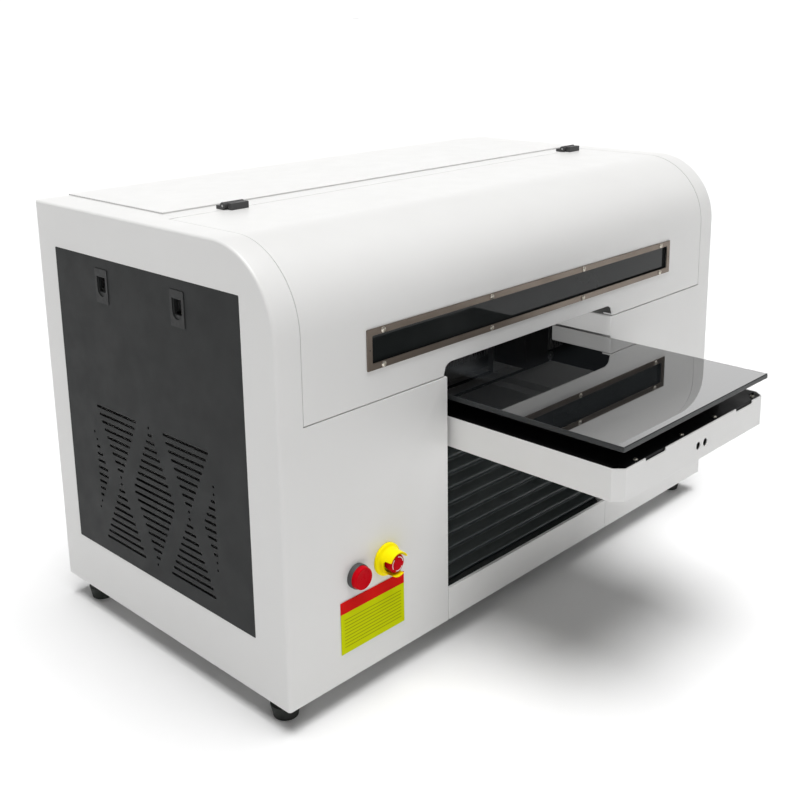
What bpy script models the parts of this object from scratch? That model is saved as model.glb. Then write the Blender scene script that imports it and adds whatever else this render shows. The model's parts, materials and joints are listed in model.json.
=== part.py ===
"""Desktop flatbed UV printer, an A3-class machine, built as separate working pieces.

Metres, +Z up. The front faces -Y and the operator's left is -X. The floor is z = 0 and the
origin is the middle of the footprint, with the bed run out in front as it is for loading.
"""

import math

import bmesh
import bpy
from mathutils import Vector

GAP = 0.0003            # clearance between pieces that touch
SHEET = 0.002           # folded steel sheet
SHARP_ANGLE = math.radians(35)

# Casing
WIDTH = 0.870
DEPTH = 0.462
CASE_HEIGHT = 0.512
FOOT_HEIGHT = 0.031
REACH = 0.237           # how far the bed stands out of the front
REAR_PROUD = 0.0045     # how far the mains switch stands out of the back
CORNER = 0.096          # radius of the rolled front top edge
BAND = 0.034            # side casing seen beside the hood
REAR_BAND = 0.047       # side casing seen beside the rear cover
FRONT_BOX = 0.100       # depth of the boxes either side of the bed opening

LEFT = -WIDTH / 2
RIGHT = WIDTH / 2
FRONT = (REACH - DEPTH - REAR_PROUD) / 2
BACK = FRONT + DEPTH
BOTTOM = FOOT_HEIGHT
TOP = BOTTOM + CASE_HEIGHT
HOOD_EDGE = BOTTOM + 0.320
HOOD_REAR = FRONT + 0.220
COVER_FRONT = FRONT + 0.2515
OPENING = (LEFT + 0.258, LEFT + 0.599)
SILL_TOP = BOTTOM + 0.0425
SILL_DEPTH = 0.0045
HOOD_GAP = 0.0008
BASE_LOW = BOTTOM + SHEET + GAP
BASE_TOP = BASE_LOW + 0.003
PANEL_Y = (FRONT + 0.054, FRONT + 0.4205)
PANEL_Z = (BOTTOM + 0.069, BOTTOM + 0.458)

# Bed
BED_X = (OPENING[0] + OPENING[1]) / 2
GLASS_TOP = BOTTOM + 0.2915
GLASS_THICK = 0.006
GLASS_WIDTH = 0.322
BED_FRONT = FRONT - REACH
BED_LENGTH = 0.440
TRAY_WIDTH = 0.325
TRAY_TOP = BOTTOM + 0.2645
TRAY_BOTTOM = BOTTOM + 0.2265
TABLE_TOP = BOTTOM + 0.196
TABLE_Y = (FRONT + 0.032, FRONT + 0.430)
POST_X = 0.200          # lift screws and guide rods, either side of the bed's middle

# Carriage drive
BEAM_Y = (FRONT + 0.268, FRONT + 0.300)
BEAM_Z = (BOTTOM + 0.350, BOTTOM + 0.410)
PARK_X = 0.265
BELT_Z = BOTTOM + 0.425
BELT_Y = FRONT + 0.258
PULLEY_RADIUS = 0.008
PULLEY_X = 0.372

PAINTS = {
    "white_paint": ((0.86, 0.86, 0.85), 0.35, 0.0),
    "charcoal_paint": ((0.045, 0.046, 0.048), 0.55, 0.0),
    "bronze": ((0.20, 0.16, 0.13), 0.35, 1.0),
    "tinted_acrylic": ((0.02, 0.02, 0.022), 0.06, 0.0),
    "black_glass": ((0.01, 0.01, 0.012), 0.03, 0.0),
    "aluminium": ((0.62, 0.63, 0.64), 0.35, 1.0),
    "steel": ((0.55, 0.55, 0.56), 0.25, 1.0),
    "black_plastic": ((0.03, 0.03, 0.032), 0.45, 0.0),
    "grey_plastic": ((0.18, 0.18, 0.19), 0.5, 0.0),
    "rubber": ((0.015, 0.015, 0.015), 0.8, 0.0),
    "cloth": ((0.02, 0.022, 0.024), 0.75, 0.0),
    "red_plastic": ((0.60, 0.02, 0.02), 0.3, 0.0),
    "yellow_plastic": ((0.85, 0.62, 0.03), 0.4, 0.0),
}

for old in list(bpy.data.objects):
    bpy.data.objects.remove(old, do_unlink=True)


def collection(name):
    group = bpy.data.collections.new(name)
    bpy.context.scene.collection.children.link(group)
    return group


PARTS = collection("flatbed_uv_printer")
CUTTERS = collection("cutters")


def paint(name):
    if name in bpy.data.materials:
        return bpy.data.materials[name]
    colour, roughness, metallic = PAINTS[name]
    material = bpy.data.materials.new(name)
    material.use_nodes = True
    shader = material.node_tree.nodes["Principled BSDF"]
    shader.inputs["Base Color"].default_value = (*colour, 1.0)
    shader.inputs["Roughness"].default_value = roughness
    shader.inputs["Metallic"].default_value = metallic
    return material


# Shapes: each adds one closed body to a bmesh, in frame coordinates.

def slab(bm, xs, ys, zs):
    made = bmesh.ops.create_cube(bm, size=1.0)["verts"]
    for vert in made:
        vert.co.x = xs[0] if vert.co.x < 0 else xs[1]
        vert.co.y = ys[0] if vert.co.y < 0 else ys[1]
        vert.co.z = zs[0] if vert.co.z < 0 else zs[1]


def rod(bm, start, end, radius, end_radius=None, sides=24):
    start, end = Vector(start), Vector(end)
    span = end - start
    made = bmesh.ops.create_cone(
        bm, cap_ends=True, segments=sides, depth=span.length,
        radius1=radius, radius2=radius if end_radius is None else end_radius,
    )["verts"]
    turn = Vector((0, 0, 1)).rotation_difference(span).to_matrix().to_4x4()
    bmesh.ops.transform(bm, matrix=turn, verts=made)
    bmesh.ops.translate(bm, vec=(start + end) / 2, verts=made)


def prism(bm, outline, axis, start, end):
    """Extrudes a closed outline along axis 0, 1 or 2; the outline gives the other two."""
    corners = []
    for first, second in outline:
        place = [first, second]
        place.insert(axis, start)
        corners.append(bm.verts.new(place))
    face = bm.faces.new(corners)
    grown = bmesh.ops.extrude_face_region(bm, geom=[face])["geom"]
    step = [0.0, 0.0, 0.0]
    step[axis] = end - start
    bmesh.ops.translate(bm, vec=step, verts=[g for g in grown if isinstance(g, bmesh.types.BMVert)])
    bmesh.ops.recalc_face_normals(bm, faces=bm.faces)


def finish(name, bm, group, pivot):
    bmesh.ops.translate(bm, vec=-Vector(pivot), verts=bm.verts)
    mesh = bpy.data.meshes.new(name)
    bm.to_mesh(mesh)
    bm.free()
    mesh.shade_smooth()
    mesh.set_sharp_from_angle(angle=SHARP_ANGLE)
    item = bpy.data.objects.new(name, mesh)
    item.location = pivot
    group.objects.link(item)
    return item


def part(name, material, bm, pivot=(0, 0, 0)):
    item = finish(name, bm, PARTS, pivot)
    item.data.materials.append(paint(material))
    return item


def box_part(name, material, xs, ys, zs, pivot=(0, 0, 0)):
    bm = bmesh.new()
    slab(bm, xs, ys, zs)
    return part(name, material, bm, pivot)


def tool(bm):
    item = finish("cutter", bm, CUTTERS, (0, 0, 0))
    item.hide_render = True
    item.display_type = "WIRE"
    return item


def combine(item, bm, operation):
    step = item.modifiers.new(operation.lower(), "BOOLEAN")
    step.operation = operation
    step.solver = "EXACT"
    step.object = tool(bm)


def cut(item, bm):
    combine(item, bm, "DIFFERENCE")


def join(item, bm):
    combine(item, bm, "UNION")


def cut_slab(item, xs, ys, zs):
    bm = bmesh.new()
    slab(bm, xs, ys, zs)
    cut(item, bm)


def join_slab(item, xs, ys, zs):
    bm = bmesh.new()
    slab(bm, xs, ys, zs)
    join(item, bm)


def side_profile(inset):
    """The casing seen from the side, as y and z, set in all round."""
    steps = 10
    radius = CORNER - inset
    centre = (FRONT + CORNER, TOP - CORNER)
    points = [(FRONT + inset, BOTTOM + inset)]
    for i in range(steps + 1):
        angle = math.pi - i * math.pi / 2 / steps
        points.append((centre[0] + radius * math.cos(angle), centre[1] + radius * math.sin(angle)))
    points.append((BACK - inset, TOP - inset))
    points.append((BACK - inset, BOTTOM + inset))
    return points


def side_casing(name, side, opening_x):
    """Side plate with its rolled edge, and the box between the side and the bed opening."""
    outer = side * WIDTH / 2
    band = outer - side * BAND
    bm = bmesh.new()
    prism(bm, side_profile(0), 0, outer, band)
    item = part(name, "white_paint", bm)
    shelf = HOOD_EDGE - 0.001
    join_slab(item, sorted((outer - side * BAND / 2, opening_x)), (FRONT, FRONT + FRONT_BOX),
              (BOTTOM, shelf))
    join_slab(item, sorted((outer - side * BAND / 2, outer - side * REAR_BAND)),
              (HOOD_REAR + GAP, BACK), (TOP - 0.010, TOP))
    bm = bmesh.new()
    prism(bm, side_profile(SHEET), 0, outer - side * SHEET, band - side * 0.020)
    cut(item, bm)
    inside = sorted((outer - side * SHEET * 2, opening_x + side * SHEET))
    cut_slab(item, inside, (FRONT + SHEET, FRONT + FRONT_BOX + 0.01), (BOTTOM + SHEET, shelf - SHEET))
    cut_slab(item, sorted((opening_x + side * 0.01, opening_x - side * 0.01)),
             (FRONT + SHEET, FRONT + FRONT_BOX + 0.01), (BOTTOM + SHEET, BASE_TOP + GAP))
    cut_slab(item, sorted((outer + side * 0.01, outer - side * 0.01)),
             (PANEL_Y[0] - GAP, PANEL_Y[1] + GAP), (PANEL_Z[0] - GAP, PANEL_Z[1] + GAP))
    return item


def hood_strip(outside, inside, rear, low):
    """Hood sheet seen from the side, between two depths under its outer face."""
    steps = 10
    centre = (FRONT + CORNER, TOP - CORNER)
    points = [(rear, TOP - outside)]
    for i in range(steps + 1):
        angle = math.pi / 2 + i * math.pi / 2 / steps
        radius = CORNER - outside
        points.append((centre[0] + radius * math.cos(angle), centre[1] + radius * math.sin(angle)))
    points.append((FRONT + outside, low))
    points.append((FRONT + inside, low))
    for i in range(steps + 1):
        angle = math.pi - i * math.pi / 2 / steps
        radius = CORNER - inside
        points.append((centre[0] + radius * math.cos(angle), centre[1] + radius * math.sin(angle)))
    points.append((rear, TOP - inside))
    return points


HOOD_AXIS = (0.0, HOOD_REAR, TOP + 0.0048)
WINDOW_X = (LEFT + 0.1266, LEFT + 0.7448)
WINDOW_Z = (BOTTOM + 0.3568, BOTTOM + 0.4038)
WINDOW_FRAME = 0.0076
NOTCH_HEIGHT = 0.0155


def hood():
    lip = 0.015
    xs = (LEFT + BAND + HOOD_GAP, RIGHT - BAND - HOOD_GAP)
    rear = HOOD_REAR - HOOD_GAP
    bm = bmesh.new()
    prism(bm, hood_strip(0, lip, rear, HOOD_EDGE), 0, *xs)
    item = part("hood", "white_paint", bm, HOOD_AXIS)
    bm = bmesh.new()
    prism(bm, hood_strip(SHEET, lip + 0.005, rear - SHEET, HOOD_EDGE + SHEET), 0, xs[0] + SHEET,
          xs[1] - SHEET)
    cut(item, bm)
    top = HOOD_EDGE + NOTCH_HEIGHT
    run, bend = 0.006, 0.005
    low = HOOD_EDGE - 0.01
    start, end = OPENING[0] - 0.007, OPENING[1] + 0.003
    outline = [(start, low), (end, low), (end, HOOD_EDGE), (end - run, top - bend), (end - run - bend, top),
               (start + run + bend, top), (start + run, top - bend), (start, HOOD_EDGE)]
    bm = bmesh.new()
    prism(bm, outline, 1, FRONT - 0.01, FRONT + 0.02)
    cut(item, bm)
    inner = WINDOW_FRAME - 0.003
    cut_slab(item, (WINDOW_X[0] + inner, WINDOW_X[1] - inner), (FRONT - 0.01, FRONT + 0.01),
             (WINDOW_Z[0] + inner, WINDOW_Z[1] - inner))


def window():
    thick = 0.0015
    item = box_part("window_frame", "bronze", WINDOW_X, (FRONT - GAP - thick, FRONT - GAP), WINDOW_Z,
                    HOOD_AXIS)
    cut_slab(item, (WINDOW_X[0] + WINDOW_FRAME, WINDOW_X[1] - WINDOW_FRAME), (FRONT - 0.01, FRONT + 0.01),
             (WINDOW_Z[0] + WINDOW_FRAME, WINDOW_Z[1] - WINDOW_FRAME))
    back = FRONT + SHEET + GAP
    box_part("window_pane", "tinted_acrylic", WINDOW_X, (back, back + 0.003), WINDOW_Z, HOOD_AXIS)


def hood_hinge(name, centre_x):
    """Two-leaf plastic hinge: the base carries the outer knuckles and pin, the leaf the middle one."""
    half, knuckle, radius, pin = 0.015, 0.007, 0.0042, 0.0016
    y, z = HOOD_REAR, HOOD_AXIS[2]
    low, thick, leaf_thick = TOP + GAP, 0.0042, 0.0078
    base = box_part(f"hinge_base_{name}", "black_plastic", (centre_x - half, centre_x + half),
                    (y + radius + GAP, y + 0.012), (low, low + thick))
    for start, end in ((-half, -half + knuckle), (half - knuckle, half)):
        join_slab(base, (centre_x + start, centre_x + end), (y + 0.001, y + 0.008),
                  (low + 0.0002, low + thick - 0.0004))
        bm = bmesh.new()
        rod(bm, (centre_x + start, y, z), (centre_x + end, y, z), radius)
        join(base, bm)
    bm = bmesh.new()
    rod(bm, (centre_x - half + 0.001, y, z), (centre_x + half - 0.001, y, z), pin, sides=12)
    join(base, bm)

    leaf = box_part(f"hinge_leaf_{name}", "black_plastic", (centre_x - half + 0.0045, centre_x + half),
                    (y - 0.012, y - radius - GAP), (low, low + leaf_thick), HOOD_AXIS)
    inner = half - knuckle - GAP
    join_slab(leaf, (centre_x - inner, centre_x + inner), (y - 0.008, y - 0.001),
              (low + 0.0002, low + thick - 0.0004))
    bm = bmesh.new()
    rod(bm, (centre_x - inner, y, z), (centre_x + inner, y, z), radius)
    join(leaf, bm)
    bm = bmesh.new()
    rod(bm, (centre_x - half, y, z), (centre_x + half, y, z), pin + GAP, sides=12)
    cut(leaf, bm)


def top_and_back():
    xs = (LEFT + REAR_BAND + GAP, RIGHT - REAR_BAND - GAP)
    ys = (HOOD_REAR + GAP, COVER_FRONT - GAP)
    item = box_part("top_crossbar", "white_paint", xs, ys, (TOP - 0.020, TOP))
    cut_slab(item, (xs[0] + SHEET, xs[1] - SHEET), (ys[0] + SHEET, ys[1] - SHEET),
             (TOP - 0.03, TOP - SHEET))

    raised = 0.0018
    ys = (COVER_FRONT, BACK)
    item = box_part("rear_cover", "white_paint", xs, ys, (TOP - 0.010, TOP + raised))
    cut_slab(item, (xs[0] + SHEET, xs[1] - SHEET), (ys[0] + SHEET, ys[1] - SHEET),
             (TOP - 0.03, TOP + raised - SHEET))

    xs = (LEFT + BAND + GAP, RIGHT - BAND - GAP)
    item = box_part("back_panel", "white_paint", xs, (BACK - SHEET, BACK), (BOTTOM, TOP - 0.010 - GAP))
    bm = bmesh.new()
    for side in (-1, 1):
        for row in range(6):
            z = BOTTOM + 0.30 + row * 0.014
            slab(bm, (side * 0.20 - 0.05, side * 0.20 + 0.05), (BACK - 0.01, BACK + 0.01), (z, z + 0.005))
    x, z = INLET
    slab(bm, (x - 0.0142, x + 0.0142), (BACK - 0.01, BACK + 0.01), (z - 0.0242, z + 0.0242))
    cut(item, bm)


INLET = (-0.330, BOTTOM + 0.075)


def power_inlet():
    """Three-pin appliance inlet with its rocker switch above, in the back panel."""
    x, z = INLET
    item = box_part("power_inlet", "black_plastic", (x - 0.0139, x + 0.0139),
                    (BACK - 0.025, BACK + GAP + 0.0005), (z - 0.0239, z + 0.0239))
    join_slab(item, (x - 0.018, x + 0.018), (BACK + GAP, BACK + 0.003), (z - 0.028, z + 0.028))
    cut_slab(item, (x - 0.011, x + 0.011), (BACK - 0.014, BACK + 0.01), (z - 0.021, z - 0.003))
    bm = bmesh.new()
    for offset, height in ((-0.007, -0.014), (0.007, -0.014), (0.0, -0.009)):
        slab(bm, (x + offset - 0.001, x + offset + 0.001), (BACK - 0.016, BACK - 0.002),
             (z + height - 0.002, z + height + 0.002))
    join(item, bm)
    cut_slab(item, (x - 0.009, x + 0.009), (BACK - 0.010, BACK + 0.01), (z + 0.004, z + 0.020))
    pivot = (x, BACK - 0.001, z + 0.012)
    bm = bmesh.new()
    rear, low, high = BACK - 0.007, z + 0.0075, z + 0.0165
    prism(bm, [(rear, low), (BACK + REAR_PROUD, z + 0.0052), (BACK + 0.002, z + 0.012),
               (BACK + 0.0025, z + 0.0188), (rear, high)], 0, x - 0.0085, x + 0.0085)
    part("power_rocker", "black_plastic", bm, pivot)


def base_and_sill():
    edge = SHEET + GAP
    box_part("base_plate", "white_paint", (LEFT + edge, RIGHT - edge), (FRONT + edge, BACK - edge),
             (BASE_LOW, BASE_TOP))
    xs = (OPENING[0] + GAP, OPENING[1] - GAP)
    item = box_part("front_sill", "white_paint", xs, (FRONT, FRONT + SILL_DEPTH), (BOTTOM, SILL_TOP))
    cut_slab(item, (xs[0] + SHEET, xs[1] - SHEET), (FRONT + SHEET, FRONT + 0.02),
             (BOTTOM - 0.01, SILL_TOP - SHEET))
    cut_slab(item, (xs[0] - 0.01, xs[1] + 0.01), (FRONT + SHEET, FRONT + 0.02),
             (BOTTOM + SHEET, BASE_TOP + GAP))


def foot(name, x, y):
    radius = 0.0175
    bm = bmesh.new()
    rod(bm, (x, y, 0), (x, y, 0.016), radius * 0.82, radius)
    rod_bm = bmesh.new()
    rod(rod_bm, (x, y, 0.006), (x, y, BOTTOM - GAP), 0.009, sides=16)
    item = part(name, "rubber", bm)
    join(item, rod_bm)


VENT_ROWS = 20
VENT_PITCH = 0.00925
VENT_SLOT = 0.0035
VENT_PERIOD = 0.1418            # from one diamond of slots to the next
VENT_REACH = 0.0437             # half width of a diamond, and of a triangle's base
VENT_LOW = BOTTOM + 0.0905
VENT_Y = (FRONT + 0.1150, FRONT + 0.3600)
VENT_MIDDLE = FRONT + 0.2375


def vent_slots(row):
    """One row of the field of diamonds and the triangles between them, as y ranges."""
    rise = abs(row - (VENT_ROWS - 1) / 2) / ((VENT_ROWS - 1) / 2)
    slots = []
    for half_steps in range(-2, 3):
        centre = VENT_MIDDLE + half_steps * VENT_PERIOD / 2
        reach = VENT_REACH * (rise if half_steps % 2 else 1 - rise)
        start = max(centre - reach, VENT_Y[0])
        end = min(centre + reach, VENT_Y[1])
        if end - start > VENT_SLOT:
            slots.append((start, end))
    return slots


LATCH_Y = (FRONT + 0.1635, FRONT + 0.3170)
LATCH_TOP = BOTTOM + 0.4445
LATCH_WIDTH = 0.024
LATCH_HEIGHT = 0.034
LATCH_TRAVEL = 0.006


def service_panel(name, side):
    """Charcoal side panel with its vent field and the two windows its latches slide in."""
    face = side * WIDTH / 2
    item = box_part(name, "charcoal_paint", sorted((face, face - side * SHEET)), PANEL_Y, PANEL_Z)
    through = sorted((face + side * 0.01, face - side * 0.01))
    bm = bmesh.new()
    for row in range(VENT_ROWS):
        z = VENT_LOW + row * VENT_PITCH
        for start, end in vent_slots(row):
            slab(bm, through, (start, end), (z - VENT_SLOT / 2, z + VENT_SLOT / 2))
    for y in LATCH_Y:
        slab(bm, through, (y - LATCH_WIDTH / 2 - GAP, y + LATCH_WIDTH / 2 + GAP),
             (LATCH_TOP - LATCH_HEIGHT - LATCH_TRAVEL - GAP, LATCH_TOP + GAP))
    cut(item, bm)


def latch(name, side, y):
    """Finger latch: a slide in the panel whose tongue sits behind the casing above."""
    face = side * WIDTH / 2
    item = box_part(name, "black_plastic", sorted((face - side * 0.0002, face - side * 0.004)),
                    (y - LATCH_WIDTH / 2, y + LATCH_WIDTH / 2), (LATCH_TOP - LATCH_HEIGHT, LATCH_TOP))
    tongue = sorted((face - side * (SHEET + GAP), face - side * 0.006))
    join_slab(item, tongue, (y - LATCH_WIDTH / 2, y + LATCH_WIDTH / 2),
              (LATCH_TOP - LATCH_HEIGHT + 0.010, PANEL_Z[1] + 0.004))
    cut_slab(item, sorted((face + side * 0.01, face - side * 0.0035)), (y - 0.008, y + 0.008),
             (LATCH_TOP - 0.027, LATCH_TOP - 0.006))


BUTTON_X = LEFT + 0.1035
BUTTON_Z = BOTTOM + 0.1235
ESTOP_X = LEFT + 0.1505
ESTOP_Z = BOTTOM + 0.1257


def panel_controls():
    """Lit push button, mushroom stop button in its guarded yellow collar, and the plate below them."""
    x, z = BUTTON_X, BUTTON_Z
    face = FRONT - GAP
    bm = bmesh.new()
    rod(bm, (x, face, z), (x, face - 0.0062, z), 0.0146, 0.0144, sides=32)
    bezel = part("button_bezel", "grey_plastic", bm)
    bm = bmesh.new()
    rod(bm, (x, face - 0.0020, z), (x, face - 0.02, z), 0.0139, sides=32)
    cut(bezel, bm)
    bm = bmesh.new()
    rod(bm, (x, face - 0.0048, z), (x, face - 0.0125, z), 0.0136, 0.0131, sides=32)
    part("button_cap", "red_plastic", bm, (x, face, z))

    x, z = ESTOP_X, ESTOP_Z
    bm = bmesh.new()
    rod(bm, (x, face, z), (x, face - 0.0045, z), 0.0196, 0.0182, sides=32)
    collar = part("estop_collar", "yellow_plastic", bm)
    bm = bmesh.new()
    rod(bm, (x, face - 0.003, z), (x, face - 0.0210, z), 0.0162, 0.0149, sides=32)
    join(collar, bm)
    bm = bmesh.new()
    rod(bm, (x, face - 0.0025, z), (x, face - 0.030, z), 0.0128, 0.0137, sides=32)
    cut(collar, bm)
    cut_slab(collar, (x - 0.04, x + 0.04), (face - 0.04, face - 0.0095), (z - 0.0128, z + 0.0060))
    bm = bmesh.new()
    rod(bm, (x, face - 0.0070, z), (x, face - 0.0168, z), 0.0100, 0.0111, sides=32)
    head = part("estop_head", "red_plastic", bm, (x, face, z))
    bm = bmesh.new()
    rod(bm, (x, face - 0.0166, z), (x, face - 0.0187, z), 0.0111, 0.0090, sides=32)
    join(head, bm)

    box_part("label_plate", "yellow_plastic", (LEFT + 0.0775, LEFT + 0.1785),
             (FRONT - GAP - 0.0006, FRONT - GAP),
             (BOTTOM + 0.0345, BOTTOM + 0.0988))


def bellows():
    """Pleated skirt that closes the opening under the bed."""
    pitch, thick = 0.0200, 0.0012
    high, low = TRAY_BOTTOM - 0.004, BASE_TOP + GAP
    folds = int((high - low) / pitch - 0.6)
    near, far = FRONT + SILL_DEPTH + 0.002, FRONT + SILL_DEPTH + 0.011
    path = []
    for i in range(folds):
        path += [(far, high - i * pitch), (near, high - (i + 0.5) * pitch)]
    path += [(far, high - folds * pitch), (near, high - (folds + 0.5) * pitch), (near + 0.002, low)]
    back = [(y + thick, z) for y, z in reversed(path)]
    bm = bmesh.new()
    prism(bm, path + back, 0, OPENING[0] + 0.003, OPENING[1] - 0.003)
    part("bellows", "cloth", bm)


def tray():
    xs = (BED_X - TRAY_WIDTH / 2, BED_X + TRAY_WIDTH / 2)
    near, far = BED_FRONT + 0.002, BED_FRONT + 0.002 + BED_LENGTH
    chamfer = 0.013
    outline = [(xs[0], far), (xs[0], near + chamfer), (xs[0] + chamfer * 0.35, near + chamfer * 0.35),
               (xs[0] + chamfer, near), (xs[1] - chamfer, near),
               (xs[1] - chamfer * 0.35, near + chamfer * 0.35),
               (xs[1], near + chamfer), (xs[1], far)]
    bm = bmesh.new()
    prism(bm, outline, 2, TRAY_BOTTOM, TRAY_TOP)
    item = part("tray", "white_paint", bm)
    wall = 0.0018
    inner = []
    for x, y in outline:
        inner.append((x + wall if x < BED_X else x - wall, y - wall if y == far else y + wall))
    bm = bmesh.new()
    prism(bm, inner, 2, TRAY_BOTTOM + wall, TRAY_TOP + 0.01)
    cut(item, bm)
    bm = bmesh.new()
    for centre in (-0.093, 0.108):
        slab(bm, (BED_X + centre - 0.0205, BED_X + centre + 0.0205), (near - 0.01, near + 0.01),
             (TRAY_TOP - 0.004, TRAY_TOP + 0.01))
    for offset in (-0.0003, 0.0153):
        rod(bm, (BED_X + offset, near - 0.01, TRAY_TOP - 0.0205),
            (BED_X + offset, near + 0.01, TRAY_TOP - 0.0205),
            0.0047, sides=16)
    cut(item, bm)


def bed():
    """Glass platen on its black sub-frame, screwed to the deck plate in the tray."""
    near, far = BED_FRONT + 0.002, BED_FRONT + 0.002 + BED_LENGTH
    deck_top = TRAY_TOP - 0.0005
    deck_thick = 0.005
    item = box_part("deck_plate", "charcoal_paint",
                    (BED_X - TRAY_WIDTH / 2 + 0.0025, BED_X + TRAY_WIDTH / 2 - 0.0025),
                    (near + 0.0140, far - 0.0025), (deck_top - deck_thick, deck_top))
    join_slab(item, (BED_X - TRAY_WIDTH / 2 + 0.0160, BED_X + TRAY_WIDTH / 2 - 0.0160),
              (near + 0.0025, near + 0.0150), (deck_top - deck_thick, deck_top))
    frame_top = GLASS_TOP - GLASS_THICK - GAP
    item = box_part("bed_frame", "charcoal_paint", (BED_X - 0.122, BED_X + 0.122),
                    (near + 0.040, far - 0.008),
                    (deck_top + GAP, frame_top))
    cut_slab(item, (BED_X - 0.102, BED_X + 0.102), (near + 0.060, far - 0.028),
             (deck_top - 0.01, frame_top - 0.005))
    box_part("glass_platen", "black_glass", (BED_X - GLASS_WIDTH / 2, BED_X + GLASS_WIDTH / 2),
             (BED_FRONT, BED_FRONT + BED_LENGTH), (GLASS_TOP - GLASS_THICK, GLASS_TOP))


RAIL_X = 0.110
NUT_Y = FRONT + 0.125
SCREW_Z = TABLE_TOP + 0.0125


def bed_slide():
    """Rails, drive screw and motor on the lift table; the saddle that runs on them under the tray."""
    for name, side in (("y_rail_left", -1), ("y_rail_right", 1)):
        x = BED_X + side * RAIL_X
        item = box_part(name, "steel", (x - 0.006, x + 0.006), (TABLE_Y[0] + 0.004, TABLE_Y[1] - 0.004),
                        (TABLE_TOP + GAP, TABLE_TOP + 0.012))
        for edge in (-1, 1):
            cut_slab(item, sorted((x + edge * 0.0045, x + edge * 0.01)),
                     (TABLE_Y[0] - 0.01, TABLE_Y[1] + 0.01),
                     (TABLE_TOP + 0.005, TABLE_TOP + 0.0085))
    plate_low = TRAY_BOTTOM - GAP - 0.008
    item = box_part("bed_saddle", "aluminium", (BED_X - RAIL_X - 0.018, BED_X + RAIL_X + 0.018),
                    (FRONT + 0.060, FRONT + 0.185), (plate_low, TRAY_BOTTOM - GAP))
    for side in (-1, 1):
        x = BED_X + side * RAIL_X
        for y in (FRONT + 0.062, FRONT + 0.143):
            join_slab(item, (x - 0.014, x + 0.014), (y, y + 0.040), (TABLE_TOP + 0.003, plate_low + 0.001))
    bm = bmesh.new()
    slab(bm, (BED_X - 0.013, BED_X + 0.013), (NUT_Y - 0.012, NUT_Y + 0.012),
         (TABLE_TOP + 0.0015, plate_low + 0.001))
    join(item, bm)
    bm = bmesh.new()
    for side in (-1, 1):
        x = BED_X + side * RAIL_X
        slab(bm, (x - 0.0063, x + 0.0063), (FRONT, FRONT + 0.3), (TABLE_TOP - 0.01, TABLE_TOP + 0.0123))
    rod(bm, (BED_X, FRONT, SCREW_Z), (BED_X, FRONT + 0.3, SCREW_Z), 0.0053, sides=16)
    cut(item, bm)

    screw_far = TABLE_Y[1] - 0.036
    bm = bmesh.new()
    rod(bm, (BED_X, TABLE_Y[0] + 0.006, SCREW_Z), (BED_X, screw_far, SCREW_Z), 0.005, sides=16)
    part("y_screw", "steel", bm, (BED_X, 0, SCREW_Z))
    box_part("y_motor", "black_plastic", (BED_X - 0.0115, BED_X + 0.0115),
             (screw_far + GAP, TABLE_Y[1] - 0.002),
             (TABLE_TOP + GAP, TABLE_TOP + 0.020))


def lift():
    """Table that carries the bed, its two screws with their motors, and two guide rods."""
    low = TABLE_TOP - 0.008
    item = box_part("lift_table", "aluminium", (BED_X - 0.150, BED_X + 0.150), TABLE_Y, (low, TABLE_TOP))
    screw_y, rod_y = FRONT + 0.300, FRONT + 0.180
    join_slab(item, (BED_X - POST_X - 0.020, BED_X + POST_X + 0.020), (rod_y - 0.020, screw_y + 0.020),
              (low, TABLE_TOP))
    bm = bmesh.new()
    for side in (-1, 1):
        x = BED_X + side * POST_X
        rod(bm, (x, screw_y, low - 0.014), (x, screw_y, TABLE_TOP - 0.001), 0.013)
        rod(bm, (x, rod_y, low - 0.014), (x, rod_y, TABLE_TOP - 0.001), 0.013)
    join(item, bm)
    bm = bmesh.new()
    for side in (-1, 1):
        x = BED_X + side * POST_X
        rod(bm, (x, screw_y, low - 0.05), (x, screw_y, TABLE_TOP + 0.05), 0.0063, sides=16)
        rod(bm, (x, rod_y, low - 0.05), (x, rod_y, TABLE_TOP + 0.05), 0.0063, sides=16)
    cut(item, bm)

    floor = BASE_TOP + GAP
    top = BOTTOM + 0.235
    for name, side in (("left", -1), ("right", 1)):
        x = BED_X + side * POST_X
        box_part(f"lift_motor_{name}", "black_plastic", (x - 0.021, x + 0.021),
                 (screw_y - 0.021, screw_y + 0.021),
                 (floor, floor + 0.038))
        bm = bmesh.new()
        rod(bm, (x, screw_y, floor + 0.038 + GAP), (x, screw_y, top), 0.006, sides=16)
        part(f"lift_screw_{name}", "steel", bm, (x, screw_y, 0))
        bm = bmesh.new()
        rod(bm, (x, rod_y, floor), (x, rod_y, top), 0.006, sides=16)
        part(f"guide_rod_{name}", "steel", bm)


HEAD_LOW = BOTTOM + 0.300


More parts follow.
